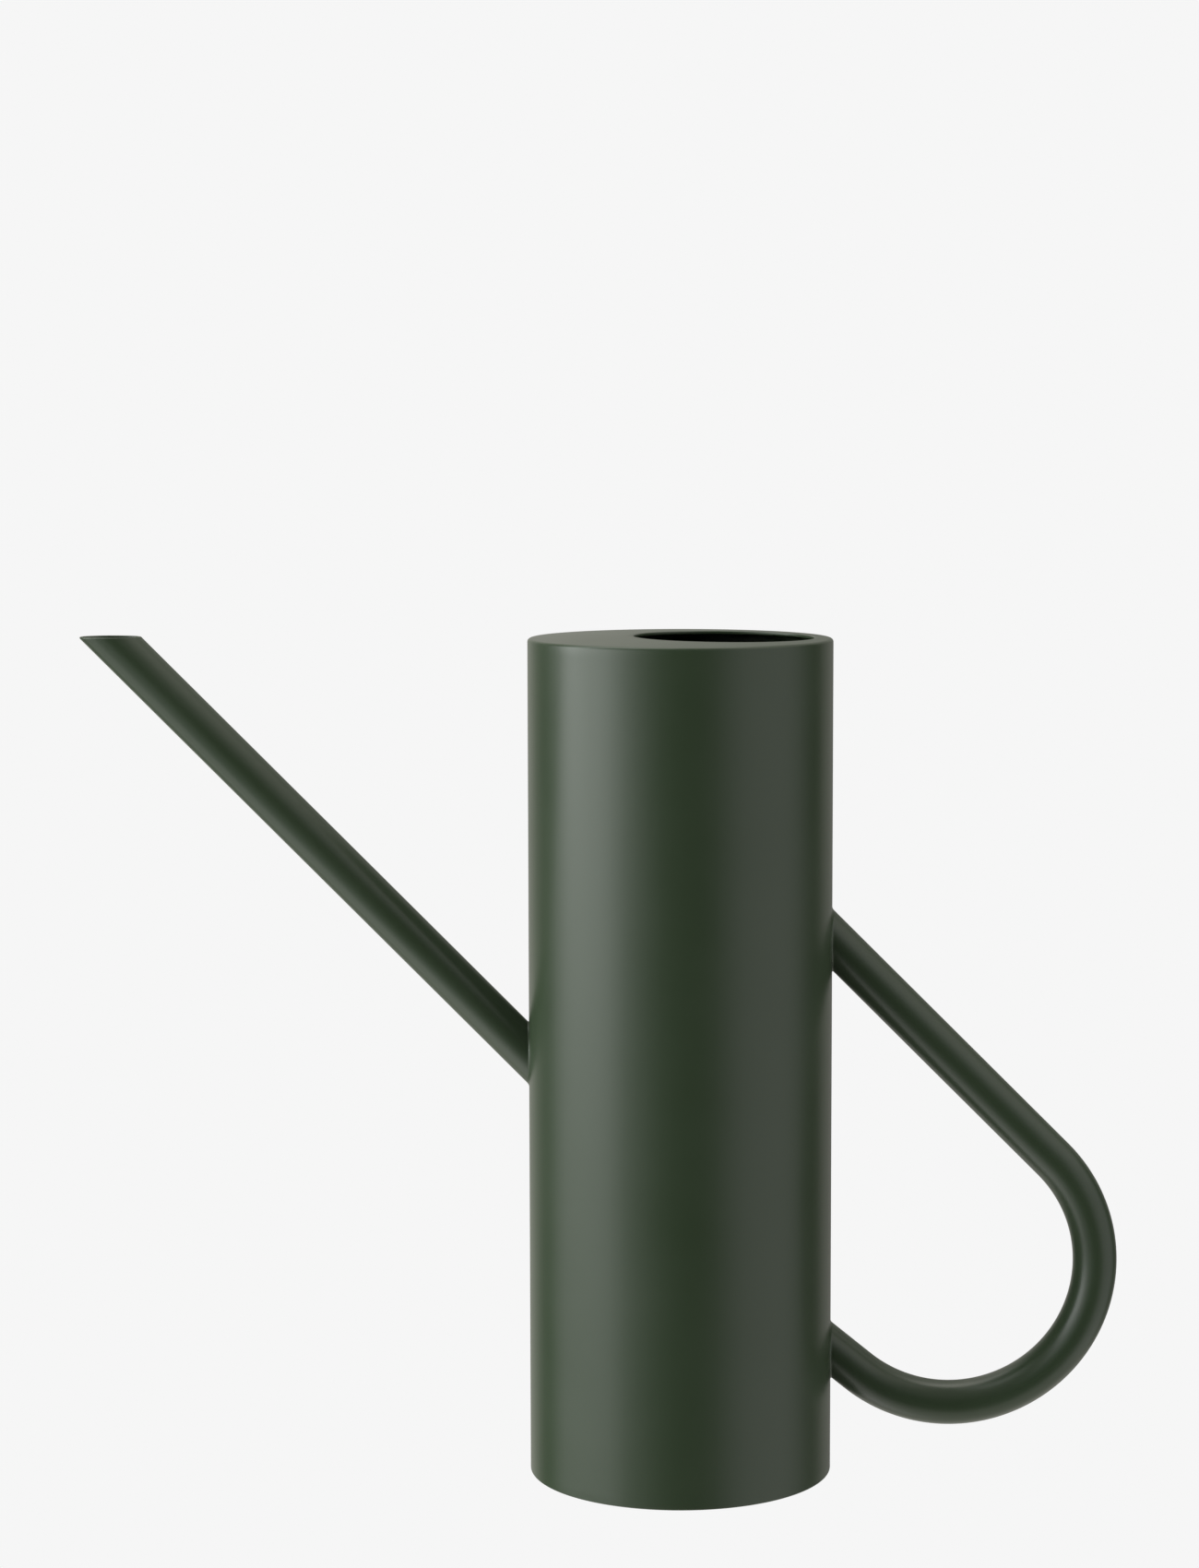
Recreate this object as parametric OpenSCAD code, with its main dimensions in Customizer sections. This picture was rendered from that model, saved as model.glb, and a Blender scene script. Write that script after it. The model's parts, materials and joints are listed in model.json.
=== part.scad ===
// Slim steel watering can: a tall welded cylinder with a pierced, slightly domed top plate,
// a straight slanting spout and a bent tube handle.
// The origin is the centre of the underside. +Z is up, the spout points to -X and the
// handle to +X, and the can is the same on both sides of the XZ plane.

/* [Body] */
// Outside diameter of the body
body_d = 110; // [80:1:160]
// Height from the underside to the rim of the top plate
body_h = 305; // [240:1:380]
// Thickness of the body's wall
wall_t = 1.0; // [0.8:0.1:1.5]
// Thickness of the top plate and the base plate
plate_t = 1.2; // [0.8:0.1:2]
// Height of the short skirt by which each end plate meets the body
skirt_h = 4; // [3:0.5:12]
// Rounding of the top plate's outer edge
top_edge_r = 1.25; // [1:0.05:2.5]
// Rounding of the base plate's outer edge
base_edge_r = 0.5; // [0.4:0.05:2.5]
// Rise of the domed top plate from its rim to its centre
crown_h = 0.9; // [0.3:0.1:3]

/* [Filling opening] */
// Diameter of the filling opening
opening_d = 65; // [40:1:72]
// Distance of the opening's centre from the body's axis, towards the handle
opening_offset = 15.7; // [0:0.1:18]

/* [Spout] */
// Outside diameter of the spout tube
spout_d = 16; // [12:0.5:22]
// Wall thickness of the spout tube
spout_wall = 1.0; // [0.7:0.1:1.5]
// Height at which the spout's axis meets the body's wall
spout_z = 153.6; // [90:1:200]
// Slope of the spout above the horizontal, in degrees
spout_slope = 45.3; // [35:0.1:58]
// Height of the spout's level tip above the body's rim
tip_above_rim = 0.4; // [-20:0.1:20]
// Width of the ledge left around the water passage inside the spout
passage_ledge = 1.0; // [0.5:0.1:2]

/* [Handle] */
// Outside diameter of the handle tube
handle_d = 16; // [12:0.5:24]
// Wall thickness of the handle tube
handle_wall = 1.0; // [0.7:0.1:1.5]
// Height at which the handle's upper axis meets the body's wall
handle_z = 195.6; // [160:1:240]
// Slope of the handle's straight leg below the horizontal, in degrees
handle_slope = 45; // [38:0.5:55]
// Length of the straight leg along its axis, from the wall to the bend
handle_leg = 114.6; // [90:1:140]
// Radius of the bend, to the axis of the tube
handle_bend_r = 53.1; // [40:0.5:66]
// Angle that the bend turns through, in degrees
handle_turn = 174; // [160:1:185]

/* [Welds] */
// Leg of the fillet welds that join the spout and the handle to the body
fillet_leg = 1.0; // [0.5:0.1:1.5]
// Width of the seam welds that join the end plates to the body, on the outside
seam_w = 1.6; // [1:0.1:2.5]
// Depth of the seam welds, less than the wall's thickness
seam_depth = 0.7; // [0.4:0.05:0.75]

/* [Hidden] */
$fn = 128;
tube_fn = 72;
coat = [0.17, 0.23, 0.18];
bead = [0.21, 0.27, 0.22];

// How far a cutting shape runs past what it cuts, and a coped tube past the wall it is cut to
over = 3;
// Number of rings that make up the dome of the top plate
crown_rings = 10;
// Half the width of the butt joint in the handle, and how far it stands proud of the tube
joint_half = 0.15;
joint_proud = 0.02;

body_r = body_d / 2;
body_bore_r = body_r - wall_t;
top_seam_z = body_h - skirt_h;
base_seam_z = skirt_h;
opening_r = opening_d / 2;

spout_r = spout_d / 2;
spout_bore_r = spout_r - spout_wall;
passage_r = spout_bore_r - passage_ledge;
tip_z = body_h + tip_above_rim;

handle_r = handle_d / 2;
handle_bore_r = handle_r - handle_wall;
// Angles around the bend's centre, from +X towards +Z, at its start and its end
bend_from = 90 - handle_slope;
bend_to = bend_from - handle_turn;
// The bend's centre and its two ends, as [x, z]
bend_start = [
    body_r + handle_leg * cos(handle_slope),
    handle_z - handle_leg * sin(handle_slope)
];
bend_centre = bend_start - handle_bend_r * [cos(bend_from), sin(bend_from)];
bend_end = bend_centre + handle_bend_r * [cos(bend_to), sin(bend_to)];
// Direction in which the handle's tail leaves the bend, from +X towards +Z
tail_heading = bend_to - 90;

// Height of the dome above its rim, at distance r from the axis
function dome(r, edge) = crown_h * (1 - pow(r / edge, 2));

// Length of a tube that reaches the wall at this slope and goes on until all of it is inside
function coped(r, slope) = (r * abs(sin(slope)) + over) / abs(cos(slope));

// The solid cylinder that the body fills, grown by extra, which copes the tubes set on it
module body_space(extra = 0) {
    translate([0, 0, -over])
        cylinder(r = body_r + extra, h = tip_z + 2 * over);
}

// Half section under a dome, from the axis to its rim at distance r and height z
module dome_outline(r, z) {
    ring = r / crown_rings;
    rim = [[0, z], [r, z]];
    arc = [for (i = [crown_rings - 1:-1:0]) [i * ring, z + dome(i * ring, r)]];
    polygon(concat(rim, arc));
}

// Half section of the outside of an end plate that stands upright, its skirt down from z
module cap_outline(edge_r, depth, z) {
    translate([0, z - depth])
        square([body_r, depth - edge_r]);
    translate([0, z - depth])
        square([body_r - edge_r, depth]);
    translate([body_r - edge_r, z - edge_r])
        circle(r = edge_r, $fn = 48);
}

// Half section of the groove that a seam weld fills, which is also that weld's own section
module seam_section(z) {
    polygon([
        [body_r, z - seam_w / 2],
        [body_r, z + seam_w / 2],
        [body_r - seam_depth, z]
    ]);
}

// The spout as a solid rod of radius r, from inside the body's wall to past the tip
module spout_rod(r) {
    back = coped(r, spout_slope);
    length = (tip_z - spout_z) / sin(spout_slope) + r + over;
    translate([-body_r, 0, spout_z])
        rotate([0, spout_slope - 90, 0])
            translate([0, 0, -back])
                cylinder(r = r, h = back + length, $fn = tube_fn);
}

// Section of a tube of radius r, which is solid where it has no bore
module tube_section(r, bore = 0) {
    difference() {
        circle(r = r, $fn = tube_fn);
        if (bore > 0)
            circle(r = bore, $fn = tube_fn);
    }
}

// Places what is drawn around the bend: its centre becomes the origin, the bend starts on +X,
// runs clockwise, and the straight leg leaves it along +Y
module handle_frame() {
    translate([bend_centre.x, 0, bend_centre.y])
        rotate([90, 0, 0])
            rotate([0, 0, bend_from])
                children();
}

// Places what is drawn at the bend's start at its end, where the tail runs off along -Y
module tail_end() {
    rotate([0, 0, -handle_turn])
        children();
}

// The handle's straight leg in the handle's frame, from the bend to inside the wall
module leg_run(r, bore = 0) {
    translate([handle_bend_r, 0, 0])
        rotate([-90, 0, 0])
            linear_extrude(handle_leg + coped(r, handle_slope))
                tube_section(r, bore);
}

// The handle's bend in the handle's frame
module bend_run(r, bore = 0) {
    rotate_extrude(angle = -handle_turn)
        translate([handle_bend_r, 0])
            tube_section(r, bore);
}

// The handle's short tail in the handle's frame, from inset past the bend to inside the wall
module tail_run(r, bore = 0, inset = 0) {
    gap = (bend_end.x - body_r) / abs(cos(tail_heading));
    tail_end()
        translate([handle_bend_r, -inset, 0])
            rotate([90, 0, 0])
                linear_extrude(gap + coped(r, tail_heading) - inset)
                    tube_section(r, bore);
}

// The flush butt joint that closes the hairline between the bend and the tail
module tail_joint() {
    tail_end()
        translate([handle_bend_r, joint_half, 0])
            rotate([90, 0, 0])
                linear_extrude(2 * joint_half)
                    tube_section(handle_r + joint_proud, handle_bore_r - joint_proud);
}

// The collar of weld metal around a rod of radius r where it is set on the body.
// children(0) is the rod and children(1) the same rod with a radius larger by fillet_leg.
module fillet_weld() {
    intersection() {
        difference() {
            children(1);
            children(0);
        }
        difference() {
            body_space(fillet_leg);
            body_space();
        }
    }
}

// Rolled and welded tube that holds the water, with the passage into the spout
module body_tube() {
    color(coat)
        difference() {
            rotate_extrude()
                difference() {
                    translate([body_bore_r, base_seam_z])
                        square([wall_t, top_seam_z - base_seam_z]);
                    seam_section(base_seam_z);
                    seam_section(top_seam_z);
                }
            translate([-body_r - over, 0, spout_z])
                rotate([0, 90, 0])
                    cylinder(r = passage_r, h = wall_t + 2 * over, $fn = tube_fn);
        }
}

// Pressed lid with a rounded edge, a shallow dome and the filling opening
module top_plate() {
    color(coat)
        difference() {
            rotate_extrude()
                difference() {
                    union() {
                        cap_outline(top_edge_r, skirt_h, body_h);
                        dome_outline(body_r - top_edge_r, body_h);
                    }
                    translate([0, top_seam_z - over])
                        square([body_bore_r, skirt_h - plate_t + over]);
                    dome_outline(body_bore_r, body_h - plate_t);
                    seam_section(top_seam_z);
                }
            translate([opening_offset, 0, top_seam_z])
                cylinder(r = opening_r, h = skirt_h + crown_h + over);
        }
}

// Pressed floor with a rounded edge, on which the can stands
module base_plate() {
    color(coat)
        rotate_extrude()
            difference() {
                mirror([0, 1])
                    cap_outline(base_edge_r, skirt_h, 0);
                translate([0, plate_t])
                    square([body_bore_r, skirt_h - plate_t + over]);
                seam_section(base_seam_z);
            }
}

// Weld around the joint of the top plate and the body, ground flush
module top_seam_weld() {
    color(bead)
        rotate_extrude()
            seam_section(top_seam_z);
}

// Weld around the joint of the base plate and the body, ground flush
module base_seam_weld() {
    color(bead)
        rotate_extrude()
            seam_section(base_seam_z);
}

// Straight spout, coped to the body at its foot and cut level at its tip
module spout_tube() {
    color(coat)
        difference() {
            spout_rod(spout_r);
            spout_rod(spout_bore_r);
            body_space();
            translate([-body_r - tip_z * 2, -spout_d, tip_z])
                cube([tip_z * 2, spout_d * 2, spout_d * 2]);
        }
}

// Weld around the foot of the spout
module spout_weld() {
    color(bead)
        fillet_weld() {
            spout_rod(spout_r);
            spout_rod(spout_r + fillet_leg);
        }
}

// Bent tube handle, coped to the body at both ends
module handle_tube() {
    color(coat)
        difference() {
            handle_frame()
                union() {
                    leg_run(handle_r, handle_bore_r);
                    bend_run(handle_r, handle_bore_r);
                    tail_run(handle_r, handle_bore_r, joint_half / 3);
                    tail_joint();
                }
            body_space();
        }
}

// Weld around the handle's upper end
module upper_handle_weld() {
    color(bead)
        fillet_weld() {
            handle_frame() leg_run(handle_r);
            handle_frame() leg_run(handle_r + fillet_leg);
        }
}

// Weld around the handle's lower end
module lower_handle_weld() {
    color(bead)
        fillet_weld() {
            handle_frame() tail_run(handle_r);
            handle_frame() tail_run(handle_r + fillet_leg);
        }
}

body_tube();
top_plate();
base_plate();
top_seam_weld();
base_seam_weld();
spout_tube();
spout_weld();
handle_tube();
upper_handle_weld();
lower_handle_weld();
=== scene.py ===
"""Finish model of a slim steel watering can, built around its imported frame.

Every piece is made at its true size, in metres, in the frame's own axes: +Z is up, the spout
points to -X and the handle to +X. The can is welded steel under one matt powder coat, so the
body, its end plates, the spout, the handle and the welds each get a finished mesh here.
"""

import json
import logging
import math
from collections.abc import Callable
from dataclasses import dataclass
from enum import Enum

import bpy
from mathutils import Matrix, Vector


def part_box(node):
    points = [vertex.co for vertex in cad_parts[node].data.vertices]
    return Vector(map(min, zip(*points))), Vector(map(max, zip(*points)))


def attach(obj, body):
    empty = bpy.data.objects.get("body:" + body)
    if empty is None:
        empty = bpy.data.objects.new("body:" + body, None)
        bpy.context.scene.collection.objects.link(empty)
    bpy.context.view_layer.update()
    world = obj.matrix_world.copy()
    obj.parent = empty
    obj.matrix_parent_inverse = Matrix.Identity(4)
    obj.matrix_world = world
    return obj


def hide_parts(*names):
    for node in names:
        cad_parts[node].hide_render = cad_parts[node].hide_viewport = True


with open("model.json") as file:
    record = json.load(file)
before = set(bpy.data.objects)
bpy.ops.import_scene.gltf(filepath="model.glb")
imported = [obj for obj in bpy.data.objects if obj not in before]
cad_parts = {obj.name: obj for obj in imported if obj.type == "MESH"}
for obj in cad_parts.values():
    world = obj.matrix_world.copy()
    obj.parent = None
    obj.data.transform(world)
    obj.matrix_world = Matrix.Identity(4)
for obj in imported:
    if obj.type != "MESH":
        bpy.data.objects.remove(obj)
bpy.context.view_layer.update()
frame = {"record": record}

logging.basicConfig(level=logging.INFO, format="%(message)s")
log = logging.getLogger("watering_can")

MM = 0.001
BODY = "root"
COAT_SLOT = "powder_coat"
WELD_SLOT = "weld_coat"
MERGE = 0.01 * MM
NEAR = 1e-6
UP = Vector((0, 0, 1))
HALF_TURN = 180.0
SMOOTH_ANGLE = math.radians(35)
WELD_SMOOTH_ANGLE = math.radians(60)
PLAIN = (1.0, 1.0, 1.0)
COOL = (0.97, 1.0, 0.99)
WARM = (1.03, 1.0, 0.93)

# The Mix node's colour sockets share their names with its number sockets, so these are places
MIX_FIRST = 6
MIX_SECOND = 7
MIX_RESULT = 2


# --------------------------------------------------------------------------------------
# Shader graphs
# --------------------------------------------------------------------------------------


class Field:
    """A number that varies over a surface: one output socket with Python's operators."""

    def __init__(self, graph: "Graph", socket: bpy.types.NodeSocket) -> None:
        """Wraps a socket.

        Args:
            graph: The graph that the socket's node belongs to.
            socket: The output socket.
        """
        self.graph = graph
        self.socket = socket

    def _math(self, operation: str, *values: "Field | float") -> "Field":
        """Adds a Math node on these values and returns its result."""
        return self.graph.add("ShaderNodeMath", {"operation": operation}, dict(enumerate(values)))

    def __add__(self, other: "Field | float") -> "Field":
        """Returns self + other."""
        return self._math("ADD", self, other)

    def __sub__(self, other: "Field | float") -> "Field":
        """Returns self - other."""
        return self._math("SUBTRACT", self, other)

    def __mul__(self, other: "Field | float") -> "Field":
        """Returns self * other."""
        return self._math("MULTIPLY", self, other)

    def __rsub__(self, other: float) -> "Field":
        """Returns other - self."""
        return self._math("SUBTRACT", other, self)

    __radd__ = __add__
    __rmul__ = __mul__

    def arctan2(self, other: "Field | float") -> "Field":
        """Returns the angle of the point (other, self), in radians."""
        return self._math("ARCTAN2", self, other)

    def arcsine(self) -> "Field":
        """Returns the angle whose sine is self, in radians."""
        return self._math("ARCSINE", self)

    def wrapped(self, limit: float) -> "Field":
        """Returns self brought between -limit and limit by whole turns."""
        return self._math("WRAP", self, limit, -limit)

    def size(self) -> "Field":
        """Returns self without its sign."""
        return self._math("ABSOLUTE", self)

    def ramp(self, low: float, high: float) -> "Field":
        """Returns 0 below low and 1 above high, with a smooth step between.

        Args:
            low: Value at which the step starts.
            high: Value at which it ends.

        Returns:
            The stepped number.
        """
        settings = {"interpolation_type": "SMOOTHSTEP"}
        inputs = {"Value": self, "From Min": low, "From Max": high}
        return self.graph.add("ShaderNodeMapRange", settings, inputs)


class Graph:
    """The node tree of one material or world."""

    def __init__(self, owner: bpy.types.Material | bpy.types.World) -> None:
        """Empties the owner's tree.

        Args:
            owner: The material or world whose nodes are made.
        """
        owner.use_nodes = True
        self.tree = owner.node_tree
        self.tree.nodes.clear()

    def add(self, kind: str, settings: dict | None = None, inputs: dict | None = None,
            output: str | int = 0) -> Field | None:
        """Adds one node.

        Args:
            kind: The node's type.
            settings: Properties to set before the sockets are filled.
            inputs: Socket name or number to a value, or to a Field that is linked there.
            output: Name or number of the socket to return.

        Returns:
            The chosen output socket, or None for a node that has no outputs.
        """
        node = self.tree.nodes.new(kind)
        for name, value in (settings or {}).items():
            setattr(node, name, value)
        for name, value in (inputs or {}).items():
            if isinstance(value, Field):
                self.tree.links.new(value.socket, node.inputs[name])
            else:
                node.inputs[name].default_value = value
        return Field(self, node.outputs[output]) if node.outputs else None

    def noise(self, place: Field, size: float, detail: float, rough: float = 0.5) -> Field:
        """Adds smooth noise around 0.5 whose features are about this size, in metres."""
        inputs = {"Vector": place, "Scale": 1 / size, "Detail": detail, "Roughness": rough}
        return self.add("ShaderNodeTexNoise", {"noise_dimensions": "3D"}, inputs)

    def parts(self, vector: Field) -> tuple[Field, ...]:
        """Returns the X, Y and Z of a vector."""
        return tuple(self.add("ShaderNodeSeparateXYZ", inputs={0: vector}, output=i) for i in range(3))

    def mix_colours(self, share: Field, first: tuple, second: tuple) -> Field:
        """Adds a blend from the first colour to the second as share goes from 0 to 1."""
        inputs = {"Factor": share, MIX_FIRST: (*first, 1.0), MIX_SECOND: (*second, 1.0)}
        return self.add("ShaderNodeMix", {"data_type": "RGBA"}, inputs, output=MIX_RESULT)

    def tinted(self, strength: Field, tint: tuple, on_top_of: Field | tuple = (0, 0, 0)) -> Field:
        """Adds light of this strength and tint on top of a colour."""
        share = self.add("ShaderNodeCombineXYZ", inputs={0: strength, 1: strength, 2: strength})
        inputs = {0: share, 1: tint, 2: on_top_of}
        return self.add("ShaderNodeVectorMath", {"operation": "MULTIPLY_ADD"}, inputs)


# --------------------------------------------------------------------------------------
# Finishes
# --------------------------------------------------------------------------------------


class Texture(Enum):
    """How much of the powder's grain shows through the coat."""

    FINE = 1.0
    OVER_WELD = 1.8


@dataclass(frozen=True)
class PowderCoat:
    """Matt powder coat, baked on: a fine grain, a faint orange peel and paler, thinner clouds."""

    name: str
    texture: Texture = Texture.FINE
    colour: tuple = (0.0330, 0.0520, 0.0268)
    thin_colour: tuple = (0.0366, 0.0558, 0.0304)
    roughness: float = 0.31
    roughness_spread: float = 0.06
    grain: float = 0.35 * MM
    grain_height: float = 0.006 * MM
    peel: float = 2.6 * MM
    peel_height: float = 0.010 * MM
    cloud: float = 38 * MM
    cloud_share: float = 0.6
    thin_from: float = 0.35
    thin_to: float = 0.65

    def material(self) -> bpy.types.Material:
        """Builds the material.

        Returns:
            A new material under this finish's name.
        """
        made = bpy.data.materials.new(self.name)
        graph = Graph(made)
        place = graph.add("ShaderNodeTexCoord", output="Object")
        clouds = graph.noise(place, self.cloud, detail=3.0)
        peel = graph.noise(place, self.peel, detail=1.0)
        grain = graph.noise(place, self.grain, detail=2.0, rough=0.6)
        mixed = clouds * self.cloud_share + grain * (1 - self.cloud_share)
        share = mixed.ramp(self.thin_from, self.thin_to)
        colour = graph.mix_colours(share, self.colour, self.thin_colour)
        roughness = self.roughness + (clouds + grain - 1.0) * self.roughness_spread
        height = peel * self.peel_height + grain * (self.grain_height * self.texture.value)
        bump = graph.add("ShaderNodeBump", inputs={"Strength": 1.0, "Distance": 1.0, "Height": height})
        shader = graph.add("ShaderNodeBsdfPrincipled", inputs={
            "Base Color": colour,
            "Roughness": roughness,
            "Normal": bump,
            "IOR": 1.5,
        })
        graph.add("ShaderNodeOutputMaterial", inputs={"Surface": shader})
        return made


@dataclass(frozen=True)
class StudioFloor:
    """Pale seamless floor that runs into the backdrop without a line, and is clear from below."""

    glow: float
    name: str = "studio_floor"

    def material(self) -> bpy.types.Material:
        """Builds the material.

        Returns:
            A new material under this finish's name.
        """
        made = bpy.data.materials.new(self.name)
        graph = Graph(made)
        underneath = graph.add("ShaderNodeNewGeometry", output="Backfacing")
        glowing = graph.add("ShaderNodeEmission", inputs={"Color": (1, 1, 1, 1), "Strength": self.glow})
        clear = graph.add("ShaderNodeBsdfTransparent")
        shader = graph.add("ShaderNodeMixShader", inputs={"Fac": underneath, 1: glowing, 2: clear})
        graph.add("ShaderNodeOutputMaterial", inputs={"Surface": shader})
        return made


# --------------------------------------------------------------------------------------
# Modelling by hand, in code
# --------------------------------------------------------------------------------------


class Workpiece:
    """One mesh object on the bench, shaped in edit mode."""

    def __init__(self, name: str) -> None:
        """Takes a name.

        Args:
            name: The finished piece's name.
        """
        self.name = name
        self.obj: bpy.types.Object | None = None

    def circle(self, radius: float, at: Vector, axis: Vector, sides: int) -> None:
        """Adds a circle that faces along an axis, and leaves it selected in edit mode.

        Args:
            radius: The circle's radius.
            at: Its centre.
            axis: The direction that it faces.
            sides: The number of its vertices.
        """
        turn = axis.to_track_quat("Z", "Y").to_euler()
        if self.obj is None:
            bpy.ops.object.select_all(action="DESELECT")
        else:
            bpy.ops.mesh.select_all(action="DESELECT")
        bpy.ops.mesh.primitive_circle_add(vertices=sides, radius=radius, location=at, rotation=turn)
        if self.obj is None:
            self.obj = bpy.context.object
            self.obj.name = self.name
            bpy.ops.object.transform_apply(location=True, rotation=True, scale=True)
            bpy.ops.object.mode_set(mode="EDIT")
            bpy.ops.mesh.select_mode(type="EDGE")
            bpy.ops.mesh.select_all(action="SELECT")

    def pull(self, by: Vector) -> None:
        """Extrudes the selected ring by a vector."""
        bpy.ops.mesh.extrude_edges_move(TRANSFORM_OT_translate={"value": by})

    def pull_to(self, share: float, drop: float, centre: Vector) -> None:
        """Extrudes the selected ring, then scales it level about a centre and moves it along Z.

        Args:
            share: The new radius as a share of the old one.
            drop: How far it moves along Z.
            centre: The point that it is scaled about.
        """
        self.pull(Vector((0, 0, drop)))
        bpy.ops.transform.resize(value=(share, share, 1), center_override=centre)

    def turn_through(self, outline: list[tuple[float, float]], centre: Vector) -> None:
        """Pulls the selected ring through an outline.

        Args:
            outline: Radius and height of each step, the first being where the ring is now.
            centre: The point on the axis that radii are measured from.
        """
        for (r0, z0), (r1, z1) in zip(outline, outline[1:]):
            self.pull_to(r1 / r0, z1 - z0, centre)

    def pick_edges(self, test: Callable[[Vector], bool]) -> None:
        """Selects only the edges whose two ends both pass a test.

        Args:
            test: A function of a point that says whether it is wanted.
        """
        bpy.ops.mesh.select_all(action="DESELECT")
        bpy.ops.object.mode_set(mode="OBJECT")
        mesh = self.obj.data
        wanted = [test(v.co) for v in mesh.vertices]
        for edge in mesh.edges:
            edge.select = all(wanted[i] for i in edge.vertices)
        bpy.ops.object.mode_set(mode="EDIT")

    def bridge(self, cuts: int = 0) -> None:
        """Joins the two selected rings with faces."""
        bpy.ops.mesh.bridge_edge_loops(number_cuts=cuts, interpolation="LINEAR")

    def move_points(self, rule: Callable[[Vector], Vector]) -> None:
        """Moves every vertex to where a rule puts it.

        Args:
            rule: A function from a point to its new place.
        """
        bpy.ops.object.mode_set(mode="OBJECT")
        for vertex in self.obj.data.vertices:
            vertex.co = rule(vertex.co)
        bpy.ops.object.mode_set(mode="EDIT")

    def finish(self) -> bpy.types.Object:
        """Merges doubles, turns the faces outwards and shades the piece.

        Returns:
            The finished object.
        """
        bpy.ops.mesh.select_all(action="SELECT")
        bpy.ops.mesh.remove_doubles(threshold=MERGE)
        bpy.ops.mesh.normals_make_consistent(inside=False)
        bpy.ops.object.mode_set(mode="OBJECT")
        bpy.ops.object.shade_smooth_by_angle(angle=SMOOTH_ANGLE)
        return self.obj


def fit_piece(piece: bpy.types.Object, material: bpy.types.Material, slot: str, *nodes: str) -> None:
    """Dresses a finished piece and puts it in place of its frame nodes.

    Args:
        piece: The finished object.
        material: Its material.
        slot: The record's material slot. Not used.
        nodes: The frame nodes that it stands for.
    """
    piece.data.materials.clear()
    piece.data.materials.append(material)
    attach(piece, BODY)
    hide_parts(*nodes)
    log.info("%s: %d faces, stands for %s", piece.name, len(piece.data.polygons), ", ".join(nodes))


def quarter(radius: float, steps: int) -> list[tuple[float, float]]:
    """Returns how far a rounded corner has gone out and dropped, from its start to its end."""
    angles = [math.pi / 2 * i / steps for i in range(steps + 1)]
    return [(radius * math.sin(a), radius * (1 - math.cos(a))) for a in angles]


# --------------------------------------------------------------------------------------
# Sub-assemblies
# --------------------------------------------------------------------------------------


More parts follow.
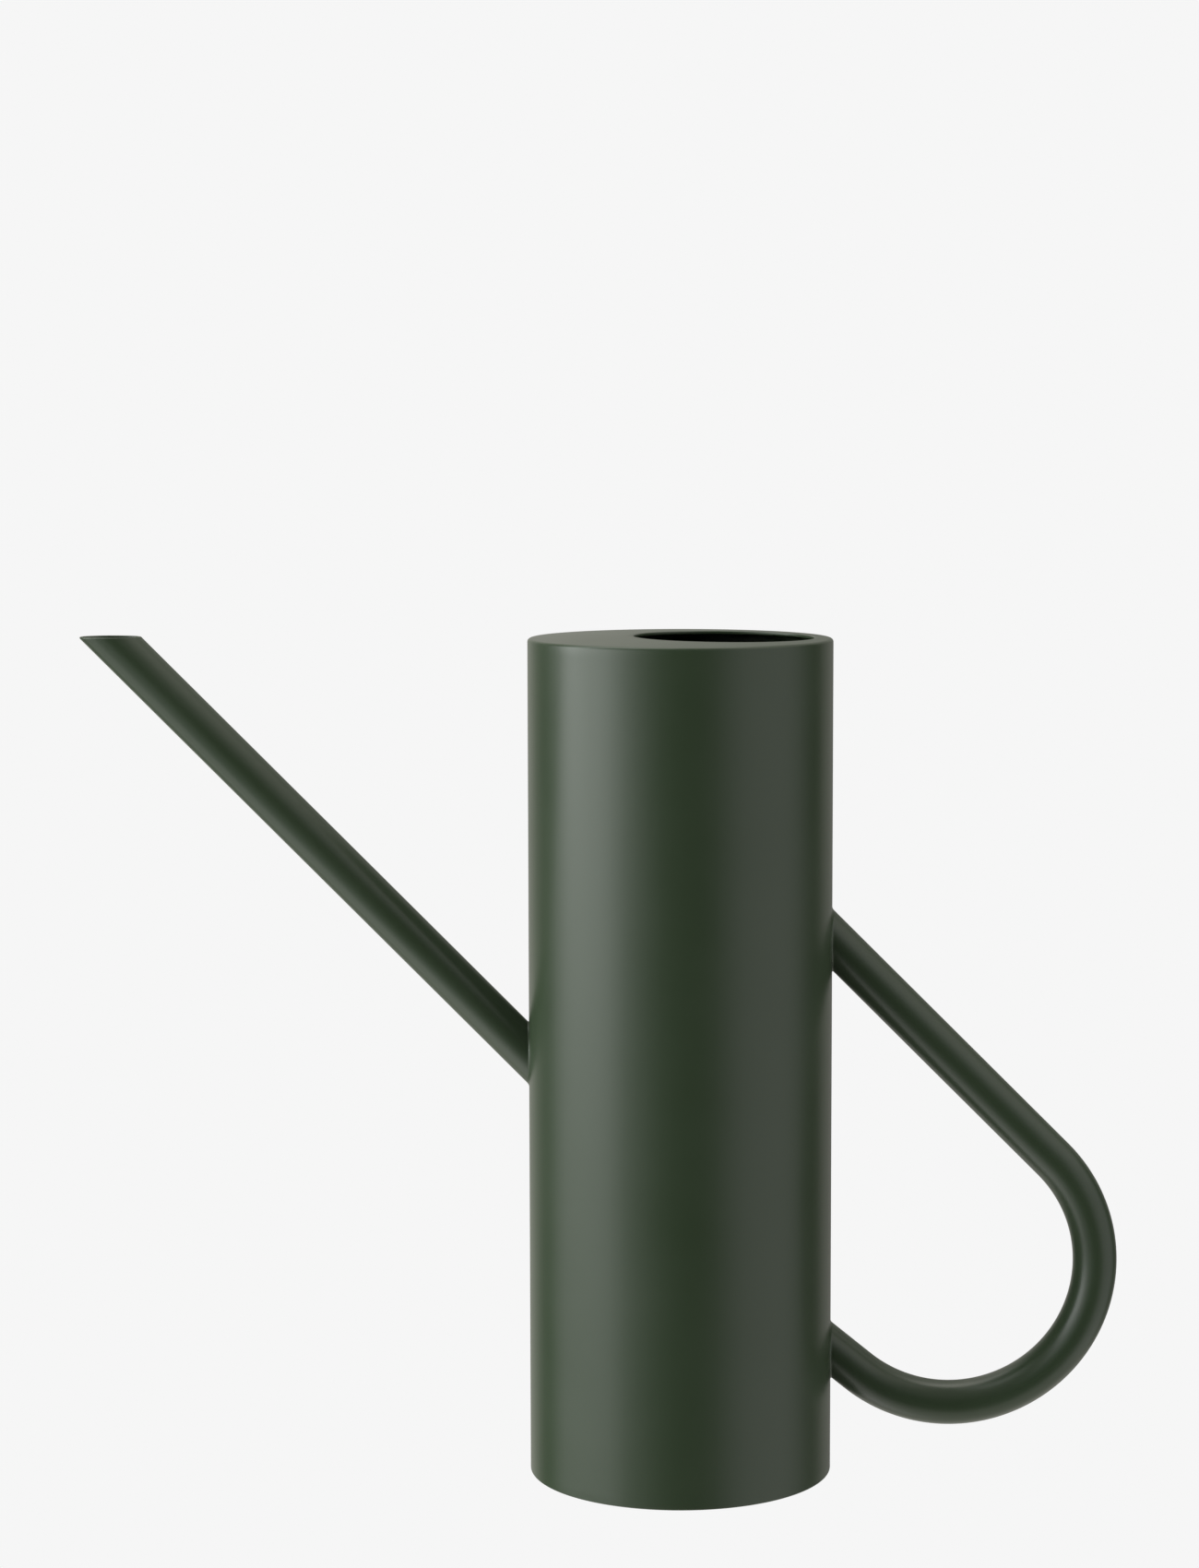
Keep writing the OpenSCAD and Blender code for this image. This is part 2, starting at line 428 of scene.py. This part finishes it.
@dataclass
class Body:
    """The rolled tube and the two pressed plates that close it."""

    coat: bpy.types.Material
    sides: int = 256
    radius: float = round(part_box("body_tube")[1].x, 5)
    seam_low: float = round(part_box("body_tube")[0].z, 5)
    seam_high: float = round(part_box("body_tube")[1].z, 5)
    wall: float = 1.0 * MM
    plate: float = 1.2 * MM
    rim: float = 305 * MM
    top_edge: float = 1.25 * MM
    base_edge: float = 0.5 * MM
    crown: float = 0.9 * MM
    opening_edge: float = 0.35 * MM
    passage_radius: float = 6.0 * MM
    passage_z: float = 153.6 * MM
    corner_steps: int = 8
    opening_steps: int = 4
    dome_cuts: int = 12
    underside_cuts: int = 4
    floor_rings: int = 4
    hub_share: float = 0.2
    drill_sides: int = 72
    drill_depth: float = 8.0 * MM

    def build(self) -> None:
        """Builds the shell and both plates."""
        fit_piece(self.shell(), self.coat, COAT_SLOT, "body_tube", "top_seam_weld", "base_seam_weld")
        fit_piece(self.lid(), self.coat, COAT_SLOT, "top_plate")
        fit_piece(self.pan(), self.coat, COAT_SLOT, "base_plate")

    def shell(self) -> bpy.types.Object:
        """Turns the body's wall and drills the passage into the spout.

        Returns:
            The finished tube.
        """
        work = Workpiece("body_shell")
        bore = self.radius - self.wall
        work.circle(self.radius, UP * self.seam_low, UP, self.sides)
        work.turn_through([
            (self.radius, self.seam_low),
            (self.radius, self.seam_high),
            (bore, self.seam_high),
            (bore, self.seam_low),
        ], Vector())
        work.pick_edges(lambda p: abs(p.z - self.seam_low) < NEAR)
        work.bridge()
        self.drill(work.finish())
        bpy.ops.object.mode_set(mode="EDIT")
        return work.finish()

    def drill(self, tube: bpy.types.Object) -> None:
        """Cuts the round passage through the wall behind the spout's foot.

        Args:
            tube: The body's shell.
        """
        bpy.ops.object.select_all(action="DESELECT")
        bpy.ops.mesh.primitive_cylinder_add(
            vertices=self.drill_sides, radius=self.passage_radius, depth=self.drill_depth,
            location=(-self.radius, 0, self.passage_z), rotation=(0, math.pi / 2, 0))
        drill = bpy.context.object
        bpy.ops.object.select_all(action="DESELECT")
        tube.select_set(True)
        bpy.context.view_layer.objects.active = tube
        cut = tube.modifiers.new("passage", "BOOLEAN")
        cut.operation = "DIFFERENCE"
        cut.solver = "EXACT"
        cut.object = drill
        bpy.ops.object.modifier_apply(modifier=cut.name)
        bpy.data.objects.remove(drill)

    def dome(self, point: Vector) -> Vector:
        """Raises a point of the lid's flat blank to the pressed dome."""
        reach = self.radius - self.top_edge
        share = min(math.hypot(point.x, point.y) / reach, 1.0)
        return Vector((point.x, point.y, point.z + self.crown * (1 - share ** 2)))

    def lid(self) -> bpy.types.Object:
        """Presses the lid: dome, rounded rim, skirt, and an opening with eased edges.

        Returns:
            The finished lid.
        """
        mount = next(m for m in frame["record"]["mounts"] if m["name"] == "fill_opening")
        opening = mount["dims"]["r_mm"] * MM
        centre = Vector((mount["pos_m"][0], 0, 0))
        ease = self.opening_edge
        reach = self.radius - self.top_edge
        work = Workpiece("lid_plate")
        work.circle(reach, UP * self.rim, UP, self.sides)
        work.circle(opening + ease, centre + UP * self.rim, UP, self.sides)
        bpy.ops.mesh.select_all(action="SELECT")
        work.bridge(self.dome_cuts)
        work.move_points(self.dome)

        work.pick_edges(lambda p: abs(math.hypot(p.x, p.y) - reach) < NEAR)
        rounded = quarter(self.top_edge, self.corner_steps)
        corner = [(reach + out, self.rim - drop) for out, drop in rounded]
        bore = self.radius - self.wall
        work.turn_through([
            *corner,
            (self.radius, self.seam_high),
            (bore, self.seam_high),
            (bore, self.rim - self.plate),
        ], Vector())

        def on_opening(p: Vector) -> bool:
            """Says whether a point is on the opening's top edge."""
            return abs(math.hypot(p.x - centre.x, p.y) - opening - ease) < NEAR

        work.pick_edges(on_opening)
        ring = opening + ease
        upper = [(ring - out, -drop) for out, drop in quarter(ease, self.opening_steps)]
        lower = [(r, -self.plate - z) for r, z in reversed(upper)]
        work.turn_through([*upper, *lower], centre)

        def under(p: Vector) -> bool:
            """Says whether a point is on one of the two rings that bound the underside."""
            at_bore = abs(math.hypot(p.x, p.y) - bore) < NEAR and abs(p.z - self.rim + self.plate) < NEAR
            low = p.z < self.rim + self.crown - self.plate and p.z > self.rim - 2 * self.plate
            return at_bore or (on_opening(p) and low)

        work.pick_edges(under)
        work.bridge(self.underside_cuts)
        return work.finish()

    def pan(self) -> bpy.types.Object:
        """Presses the floor that the can stands on.

        Returns:
            The finished base plate.
        """
        work = Workpiece("base_pan")
        hub = self.radius * self.hub_share
        flat = self.radius - self.base_edge
        bore = self.radius - self.wall
        work.circle(hub, Vector(), UP, self.sides)
        corner = [(flat + out, drop) for out, drop in quarter(self.base_edge, self.corner_steps)]
        rings = [hub + (flat - hub) * i / self.floor_rings for i in range(self.floor_rings)]
        work.turn_through([
            *[(r, 0.0) for r in rings],
            *corner,
            (self.radius, self.seam_low),
            (bore, self.seam_low),
            (bore, self.plate),
            (hub, self.plate),
        ], Vector())
        bpy.ops.mesh.edge_face_add()
        work.pick_edges(lambda p: abs(p.z) < NEAR and math.hypot(p.x, p.y) < hub + NEAR)
        bpy.ops.mesh.edge_face_add()
        return work.finish()


@dataclass
class SetOnTube:
    """A round tube set on the body's wall, and the fillet weld around its foot."""

    body: Body
    radius: float
    foot: Vector
    axis: Vector
    sides: int = 96
    run_in: float = 2.5
    weld_steps: int = 8
    root_depth: float = 0.4

    def on_wall(self, point: Vector) -> Vector:
        """Slides a point along the tube's axis to the body's outer surface."""
        side = math.copysign(1.0, self.axis.x)
        x = side * math.sqrt(self.body.radius ** 2 - point.y ** 2)
        return point + self.axis * ((x - point.x) / self.axis.x)

    def start(self) -> Vector:
        """Returns a point on the axis inside the wall, where the tube's blank begins."""
        return self.foot - self.axis * (self.run_in * self.radius)

    def in_blank(self, point: Vector) -> bool:
        """Says whether a point is on the blank's starting ring."""
        return abs((point - self.start()).dot(self.axis)) < NEAR

    def cope(self, point: Vector) -> Vector:
        """Moves the points of the starting ring out to the wall, and no others."""
        return self.on_wall(point) if self.in_blank(point) else point

    def at_foot(self, point: Vector) -> bool:
        """Says whether a point of a coped tube lies on the body's wall."""
        return abs(math.hypot(point.x, point.y) - self.body.radius) < NEAR

    def weld(self, name: str, leg: float, material: bpy.types.Material, node: str) -> None:
        """Lays the fillet weld around the foot: a ring whose face is hollow and runs out tangent.

        Args:
            name: The piece's name.
            leg: Width of the weld on the tube and on the wall.
            material: Its material.
            node: The frame node that it stands for.
        """
        sides = 2 * self.sides
        around = self.weld_steps + 2
        bpy.ops.object.select_all(action="DESELECT")
        bpy.ops.mesh.primitive_torus_add(
            major_segments=sides, minor_segments=around, major_radius=self.radius,
            minor_radius=leg, location=(0, 0, 0))
        ring = bpy.context.object
        ring.name = name
        across = self.axis.cross(Vector((0, 1, 0))).normalized()
        beside = self.axis.cross(across).normalized()
        for i in range(sides):
            angle = 2 * math.pi * i / sides
            out = across * math.cos(angle) + beside * math.sin(angle)
            for j, point in enumerate(self.section(out, leg)):
                ring.data.vertices[i * around + j].co = point
        bpy.ops.object.mode_set(mode="EDIT")
        bpy.ops.mesh.select_all(action="SELECT")
        bpy.ops.mesh.normals_make_consistent(inside=False)
        bpy.ops.object.mode_set(mode="OBJECT")
        bpy.ops.object.shade_smooth_by_angle(angle=WELD_SMOOTH_ANGLE)
        fit_piece(ring, material, WELD_SLOT, node)

    def section(self, out: Vector, leg: float) -> list[Vector]:
        """Works out the weld's section at one place around the tube.

        Args:
            out: Direction from the tube's axis to that place.
            leg: Width of the weld on the tube and on the wall.

        Returns:
            The section's points, from the tube over the face to the wall, then the hidden root.
        """
        corner = self.on_wall(self.foot + out * self.radius)
        wall_out = Vector((corner.x, corner.y, 0)).normalized()
        seam = out.cross(wall_out).normalized()
        up_tube = out.cross(seam).normalized()
        up_tube *= math.copysign(1.0, up_tube.dot(wall_out))
        along_wall = wall_out.cross(seam).normalized()
        along_wall *= math.copysign(1.0, along_wall.dot(out))
        first = corner + up_tube * leg
        axial = self.axis * (first - self.foot).dot(self.axis)
        first = self.foot + axial + (first - self.foot - axial).normalized() * self.radius
        last = corner + along_wall * leg
        level = Vector((last.x, last.y, 0)).normalized() * self.body.radius
        last = Vector((level.x, level.y, last.z))
        points = []
        for j in range(self.weld_steps + 1):
            t = j / self.weld_steps
            points.append(first * (1 - t) ** 2 + corner * (2 * t * (1 - t)) + last * t ** 2)
        root = corner - (out + wall_out).normalized() * (self.root_depth * leg)
        return [*points, root]


@dataclass
class Spout:
    """The straight spout, cut level at its tip, with a lip that is rounded over."""

    body: Body
    coat: bpy.types.Material
    weld_coat: bpy.types.Material
    radius: float = 8.0 * MM
    wall: float = 1.0 * MM
    foot_z: float = 153.6 * MM
    slope: float = math.radians(45.3)
    tip_z: float = round(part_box("spout_tube")[1].z, 5)
    tip_spare: float = 2.0
    lip_radius: float = 0.4 * MM
    lip_steps: int = 6
    ring_gap: float = 1.0 * MM
    leg: float = 1.0 * MM

    def __post_init__(self) -> None:
        """Works out the spout's line and how long its blank is before the lip."""
        self.axis = Vector((-math.cos(self.slope), 0, math.sin(self.slope)))
        self.foot = Vector((-self.body.radius, 0, self.foot_z))
        self.blank = (self.tip_z - self.foot_z) / self.axis.z + self.tip_spare * self.radius

    def build(self) -> None:
        """Builds the pipe and the weld around its foot."""
        tube = SetOnTube(self.body, self.radius, self.foot, self.axis)
        work = Workpiece("spout_pipe")
        work.circle(self.radius, tube.start(), self.axis, tube.sides)
        work.pull(self.foot + self.axis * self.blank - tube.start())
        rings = 2 * self.lip_steps + 1
        for _ in range(rings):
            work.pull(self.axis * self.ring_gap)
        work.pull(tube.start() - self.foot - self.axis * (self.blank + rings * self.ring_gap))
        bore_share = 1 - self.wall / self.radius
        bpy.ops.transform.resize(value=(bore_share,) * 3, center_override=tube.start())
        work.move_points(lambda p: tube.cope(self.roll_lip(p)))
        work.pick_edges(tube.at_foot)
        work.bridge()
        fit_piece(work.finish(), self.coat, COAT_SLOT, "spout_tube")
        tube.weld("spout_fillet", self.leg, self.weld_coat, "spout_weld")

    def roll_lip(self, point: Vector) -> Vector:
        """Moves the blank's last rings onto the lip: out over the wall's edge and into the bore.

        The wall is cut level, and a circle that touches the cut and a side of the wall rounds each
        of its two corners, so the lip has one radius all the way round.

        Args:
            point: A point of the blank.

        Returns:
            Its place on the lip, or the same point when it is in no ring of the lip.
        """
        along = (point - self.foot).dot(self.axis)
        ring = round((along - self.blank) / self.ring_gap)
        if ring < 0:
            return point
        out = (point - self.foot - self.axis * along).normalized()
        lean = out.z / self.axis.z
        slant = math.hypot(1, lean)
        crest = math.atan2(1, lean)
        if ring <= self.lip_steps:
            reach = self.radius - self.lip_radius
            angle = crest * ring / self.lip_steps
        else:
            reach = self.radius - self.wall + self.lip_radius
            angle = crest + (math.pi - crest) * (ring - self.lip_steps - 1) / self.lip_steps
        cut = (self.tip_z - self.foot_z) / self.axis.z - reach * lean
        centre = cut - self.lip_radius * slant
        return (self.foot + self.axis * (centre + self.lip_radius * math.sin(angle))
                + out * (reach + self.lip_radius * math.cos(angle)))


@dataclass
class Handle:
    """The bent tube handle: a long leg, a round bend and a short tail."""

    body: Body
    coat: bpy.types.Material
    weld_coat: bpy.types.Material
    radius: float = 8.0 * MM
    wall: float = 1.0 * MM
    top_z: float = 195.6 * MM
    slope: float = math.radians(45)
    leg_length: float = 114.6 * MM
    bend_radius: float = 53.1 * MM
    turn: float = math.radians(174)
    bend_steps: int = 96
    foot_reach: float = 3.0
    leg: float = 1.0 * MM

    def build(self) -> None:
        """Builds the pipe and the welds around its two ends."""
        down = Vector((math.cos(self.slope), 0, -math.sin(self.slope)))
        top = Vector((self.body.radius, 0, self.top_z))
        upper = SetOnTube(self.body, self.radius, top, down)
        inward = Vector((-math.sin(self.slope), 0, -math.cos(self.slope)))
        bend_start = top + down * self.leg_length
        centre = bend_start + inward * self.bend_radius
        turned = Matrix.Rotation(self.turn, 3, "Y")
        bend_end = centre + turned @ (bend_start - centre)
        heading = turned @ down
        reach = (bend_end.x - self.body.radius) / -heading.x
        lower = SetOnTube(self.body, self.radius, bend_end + heading * reach, -heading)
        work = Workpiece("handle_pipe")
        for radius in (self.radius, self.radius - self.wall):
            work.circle(radius, upper.start(), down, upper.sides)
            work.pull(bend_start - upper.start())
            bpy.ops.mesh.spin(
                steps=self.bend_steps, angle=-self.turn, center=centre, axis=(0, 1, 0), dupli=False)
            work.pull(lower.start() - bend_end)
        work.move_points(lambda p: lower.cope(upper.cope(p)))
        near = self.foot_reach * self.radius
        for end in (upper, lower):
            work.pick_edges(lambda p: end.at_foot(p) and abs(p.z - end.foot.z) < near)
            work.bridge()
        fit_piece(work.finish(), self.coat, COAT_SLOT, "handle_tube")
        upper.weld("upper_handle_fillet", self.leg, self.weld_coat, "upper_handle_weld")
        lower.weld("lower_handle_fillet", self.leg, self.weld_coat, "lower_handle_weld")


# --------------------------------------------------------------------------------------
# Studio
# --------------------------------------------------------------------------------------


@dataclass(frozen=True)
class Softbox:
    """One soft light of the studio, placed by where it stands as seen from the can.

    Bearings are in degrees from the camera's side, positive to the camera's right, and heights
    are in degrees above the horizon. A fade is the width of the light's soft edge.
    """

    name: str
    strength: float
    height: float
    half_height: float
    end_fade: float
    bearing: float = 0.0
    half_width: float = HALF_TURN
    side_fade: float = 0.0
    tint: tuple = PLAIN

    def glow(self, bearing: Field, height: Field) -> Field:
        """Works out how bright this light is in every direction.

        Args:
            bearing: The direction's bearing.
            height: The direction's height.

        Returns:
            The light's brightness in that direction.
        """
        glow = self.strength * self.fade((height - self.height).size(), self.half_height, self.end_fade)
        if self.half_width >= HALF_TURN:
            return glow
        turn = (bearing - self.bearing).wrapped(HALF_TURN).size()
        return glow * self.fade(turn, self.half_width, self.side_fade)

    @staticmethod
    def fade(away: Field, half: float, width: float) -> Field:
        """Returns 1 at the light's middle and 0 outside it, with a soft edge of this width."""
        return 1.0 - away.ramp(half - width / 2, half + width / 2)


@dataclass
class Studio:
    """The camera, the pale floor and backdrop, and the soft lights round the can."""

    camera_distance: float = 1.2808
    camera_height: float = 0.3838
    camera_tilt: float = math.radians(5.868)
    lens: float = 81.9
    shift: float = -0.0516
    backdrop: float = 0.9216
    floor_size: float = 60.0
    floor_drop: float = 0.05 * MM
    sensor_width: float = 36.0
    view_depth: float = 100.0
    # Name, strength, height, half height and end fade, then where it stands and its tint
    lights: tuple[Softbox, ...] = (
        Softbox("key", 4.7, 5, 15, 8, bearing=-66, half_width=18, side_fade=84, tint=COOL),
        Softbox("high_key", 4.2, 53, 56, 8, bearing=-89, half_width=9, side_fade=14, tint=COOL),
        Softbox("key_top", 1.4, 72, 24, 14, bearing=-87, half_width=56, side_fade=23, tint=COOL),
        Softbox("low_key", 0.75, -35, 50, 6, bearing=-78, half_width=30, side_fade=12),
        Softbox("low_spill", 0.65, -50, 30, 24, bearing=-42, half_width=22, side_fade=30),
        Softbox("fill", 0.83, -5, 39, 11, bearing=68, half_width=33, side_fade=38),
        Softbox("fill_top", 0.6, 52, 24, 20, bearing=85, half_width=38, side_fade=30, tint=WARM),
        Softbox("back_wall", 0.31, 32, 79, 26, bearing=180, half_width=49, side_fade=9, tint=WARM),
        Softbox("back_edge", 0.24, 15, 42, 6, bearing=-161, half_width=18, side_fade=5, tint=WARM),
        Softbox("high_back", 2.2, 79, 20, 22, bearing=158, half_width=62, side_fade=50, tint=WARM),
        Softbox("ceiling", 0.29, 75, 45, 32, tint=WARM),
        Softbox("floor_edge", 0.1, -46, 28, 24, bearing=128, half_width=24, side_fade=24, tint=WARM),
        Softbox("floor_bounce", 0.72, -74, 36, 28, tint=WARM),
    )

    def build(self) -> None:
        """Sets up the whole studio."""
        self.camera()
        self.world()
        self.floor()
        view = bpy.context.scene.view_settings
        view.view_transform = "Standard"
        view.look = "None"

    def camera(self) -> None:
        """Places the camera, a little above the can and tilted slightly down."""
        data = bpy.data.cameras.new("camera")
        data.lens = self.lens
        data.sensor_width = self.sensor_width
        data.shift_x = self.shift
        data.clip_end = self.view_depth
        camera = bpy.data.objects.new("camera", data)
        camera.location = (0, -self.camera_distance, self.camera_height)
        camera.rotation_euler = (math.pi / 2 - self.camera_tilt, 0, 0)
        bpy.context.scene.collection.objects.link(camera)
        bpy.context.scene.camera = camera

    def world(self) -> None:
        """Makes the surroundings: plain and pale to the eye, and the softboxes' light on the can."""
        world = bpy.data.worlds.new("studio_world")
        bpy.context.scene.world = world
        graph = Graph(world)
        direction = graph.add("ShaderNodeTexCoord", output="Generated")
        x, y, z = graph.parts(direction)
        degrees = 180 / math.pi
        bearing = x.arctan2(y * -1.0) * degrees
        height = z.arcsine() * degrees
        seen = graph.add("ShaderNodeLightPath", output="Is Camera Ray")
        light = graph.tinted(seen * self.backdrop, PLAIN)
        for softbox in self.lights:
            glow = softbox.glow(bearing, height) * (1.0 - seen)
            light = graph.tinted(glow, softbox.tint, on_top_of=light)
        shader = graph.add("ShaderNodeBackground", inputs={"Color": light, "Strength": 1.0})
        graph.add("ShaderNodeOutputWorld", inputs={"Surface": shader})
        log.info("studio: %d soft lights", len(self.lights))

    def floor(self) -> None:
        """Lays the pale floor that the can stands on, as bright as the backdrop behind it."""
        bpy.ops.object.select_all(action="DESELECT")
        bpy.ops.mesh.primitive_plane_add(size=self.floor_size, location=(0, 0, -self.floor_drop))
        floor = bpy.context.object
        floor.name = "studio_floor"
        floor.data.materials.append(StudioFloor(glow=self.backdrop).material())
        floor.visible_glossy = False
        floor.visible_diffuse = False
        floor.visible_shadow = False


def main() -> None:
    """Builds the can and its studio, in order."""
    coat = PowderCoat("green_powder_coat").material()
    weld_coat = PowderCoat("green_powder_coat_on_weld", texture=Texture.OVER_WELD).material()
    Studio().build()
    body = Body(coat)
    body.build()
    Spout(body, coat, weld_coat).build()
    Handle(body, coat, weld_coat).build()
    log.info("the can is finished")


if __name__ == "__main__":
    main()
